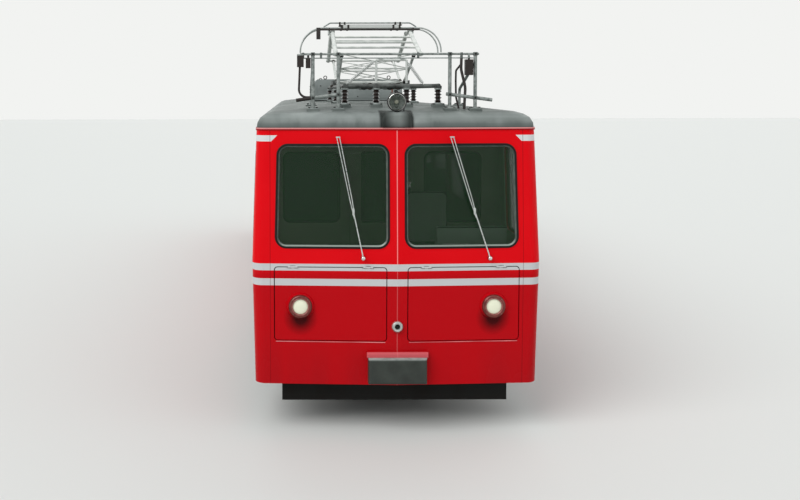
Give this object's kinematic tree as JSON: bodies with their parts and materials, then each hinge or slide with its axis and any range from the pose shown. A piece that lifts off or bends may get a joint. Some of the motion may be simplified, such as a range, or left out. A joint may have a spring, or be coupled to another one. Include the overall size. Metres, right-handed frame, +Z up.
{
  "type": "rack railway railcar",
  "caption": "Red metre-gauge rack railcar with twin windscreens, front access hatches, sliding doors, rack-pinion bogies and a raised pantograph behind a roof guard gantry.",
  "frame": {"origin": "middle of the car's length and width, at the lowest point of the wheel flanges", "axes": "+Z up, +Y along the car towards its rear end, +X to the right seen from the front"},
  "size_m": [2.544, 12.52, 3.7783],
  "materials": {
    "red_paint": "gloss red enamel",
    "glass": "tinted safety glass",
    "headlight": "lamp lens in a polished rim",
    "bumper_paint": "satin dark grey",
    "cast_steel": "bare casting",
    "roof_paint": "matt grey, weathered",
    "floor_cover": "ribbed floor covering",
    "underframe_paint": "matt black, dusty",
    "bogie_paint": "matt dark grey, brake dust",
    "wheel_steel": "steel with bright treads",
    "partition_panel": "laminate panel",
    "desk_plastic": "textured grey moulding",
    "seat_steel": "grey enamel",
    "seat_fabric": "woven moquette",
    "wiper_steel": "plain steel rod",
    "lamp_black": "black enamel",
    "galvanised": "galvanised, weathered",
    "insulator": "dark glazed sheds",
    "arm_paint": "pale grey paint",
    "head_aluminium": "drawn tube, worn",
    "case_paint": "matt grey, louvred"
  },
  "bodies": {
    "car_body": {"side_wall_right": "red_paint", "side_wall_left": "red_paint", "rear_end": "red_paint", "front_end": "red_paint", "window_glass": "glass", "windscreens": "glass", "bumper_box": "bumper_paint", "rear_drawbar": "cast_steel", "roof": "roof_paint", "floor": "floor_cover", "underframe": "underframe_paint", "cab_partition": "partition_panel", "driver_desk": "desk_plastic", "seat_frames": "seat_steel", "seat_cushions": "seat_fabric", "wipers": "wiper_steel", "roof_headlight": "lamp_black", "guard_gantry": "galvanised", "insulators": "insulator", "pantograph_base": "galvanised", "resistor_case": "case_paint"},
    "hatch_right": {"hatch_right": "red_paint", "headlight_right": "headlight"},
    "hatch_left": {"hatch_left": "red_paint", "headlight_left": "headlight"},
    "cab_door": {"cab_door": "partition_panel"},
    "bogie_front": {"bogie_frame_front": "bogie_paint"},
    "bogie_rear": {"bogie_frame_rear": "bogie_paint"},
    "lower_arm_front": {"lower_arm_front": "arm_paint"},
    "lower_arm_rear": {"lower_arm_rear": "arm_paint"},
    "upper_arm_front": {"upper_arm_front": "arm_paint"},
    "upper_arm_rear": {"upper_arm_rear": "arm_paint"},
    "collector_head": {"collector_head": "head_aluminium"},
    "door_right_front": {"door_right_front": "red_paint", "door_glass_right_front": "glass"},
    "door_right_rear": {"door_right_rear": "red_paint", "door_glass_right_rear": "glass"},
    "door_left_front": {"door_left_front": "red_paint", "door_glass_left_front": "glass"},
    "door_left_rear": {"door_left_rear": "red_paint", "door_glass_left_rear": "glass"},
    "wheelset_1": {"wheelset_1": "wheel_steel"},
    "wheelset_2": {"wheelset_2": "wheel_steel"},
    "wheelset_3": {"wheelset_3": "wheel_steel"},
    "wheelset_4": {"wheelset_4": "wheel_steel"}
  },
  "joints": [
    {"name": "hatch_right_lid", "type": "hinge", "parent": "car_body", "child": "hatch_right", "pos_m": [0.583, -6.16656, 1.47], "axis": [-0.9984, -0.0558, 0], "range_deg": [0, 75]},
    {"name": "hatch_left_lid", "type": "hinge", "parent": "car_body", "child": "hatch_left", "pos_m": [-0.583, -6.16656, 1.47], "axis": [-0.9984, 0.0558, 0], "range_deg": [0, 75]},
    {"name": "door_right_front_slide", "type": "slide", "parent": "car_body", "child": "door_right_front", "axis": [0, 1, 0], "range_m": [0, 0.84]},
    {"name": "door_right_rear_slide", "type": "slide", "parent": "car_body", "child": "door_right_rear", "axis": [0, -1, 0], "range_m": [0, 0.84]},
    {"name": "door_left_front_slide", "type": "slide", "parent": "car_body", "child": "door_left_front", "axis": [0, 1, 0], "range_m": [0, 0.84]},
    {"name": "door_left_rear_slide", "type": "slide", "parent": "car_body", "child": "door_left_rear", "axis": [0, -1, 0], "range_m": [0, 0.84]},
    {"name": "cab_door_hinge", "type": "hinge", "parent": "car_body", "child": "cab_door", "pos_m": [-0.3275, -4.702, 1.6], "axis": [0, 0, 1], "range_deg": [0, 85]},
    {"name": "bogie_front_pivot", "type": "hinge", "parent": "car_body", "child": "bogie_front", "pos_m": [0, -3.85, 0.6], "axis": [0, 0, 1], "range_deg": [-8, 8]},
    {"name": "bogie_rear_pivot", "type": "hinge", "parent": "car_body", "child": "bogie_rear", "pos_m": [0, 3.85, 0.6], "axis": [0, 0, 1], "range_deg": [-8, 8]},
    {"name": "wheelset_1_spin", "type": "hinge", "parent": "bogie_front", "child": "wheelset_1", "pos_m": [0, -4.95, 0.378], "axis": [1, 0, 0], "continuous": true},
    {"name": "wheelset_2_spin", "type": "hinge", "parent": "bogie_front", "child": "wheelset_2", "pos_m": [0, -2.75, 0.378], "axis": [1, 0, 0], "continuous": true},
    {"name": "wheelset_3_spin", "type": "hinge", "parent": "bogie_rear", "child": "wheelset_3", "pos_m": [0, 2.75, 0.378], "axis": [1, 0, 0], "continuous": true},
    {"name": "wheelset_4_spin", "type": "hinge", "parent": "bogie_rear", "child": "wheelset_4", "pos_m": [0, 4.95, 0.378], "axis": [1, 0, 0], "continuous": true},
    {"name": "pantograph_raise", "type": "hinge", "parent": "car_body", "child": "lower_arm_front", "pos_m": [0, -3.36, 3.105], "axis": [-1, 0, 0], "range_deg": [-10, 40.5]},
    {"name": "upper_arm_front_knee", "type": "hinge", "parent": "lower_arm_front", "child": "upper_arm_front", "pos_m": [0, -4.27301, 3.40166], "axis": [1, 0, 0], "range_deg": [-20, 81]},
    {"name": "collector_head_pivot", "type": "hinge", "parent": "upper_arm_front", "child": "collector_head", "pos_m": [0, -3.36, 3.69831], "axis": [-1, 0, 0], "range_deg": [-10, 40.5]},
    {"name": "lower_arm_rear_pivot", "type": "hinge", "parent": "car_body", "child": "lower_arm_rear", "pos_m": [0, -3.04, 3.105], "axis": [1, 0, 0], "range_deg": [-10, 40.5]},
    {"name": "upper_arm_rear_knee", "type": "hinge", "parent": "lower_arm_rear", "child": "upper_arm_rear", "pos_m": [0, -2.12699, 3.40166], "axis": [-1, 0, 0], "range_deg": [-20, 81]}
  ],
  "couplings": [
    {"joint": "upper_arm_front_knee", "follows": "pantograph_raise", "ratio": 2},
    {"joint": "collector_head_pivot", "follows": "pantograph_raise", "ratio": 1},
    {"joint": "lower_arm_rear_pivot", "follows": "pantograph_raise", "ratio": 1},
    {"joint": "upper_arm_rear_knee", "follows": "pantograph_raise", "ratio": 2}
  ]
}
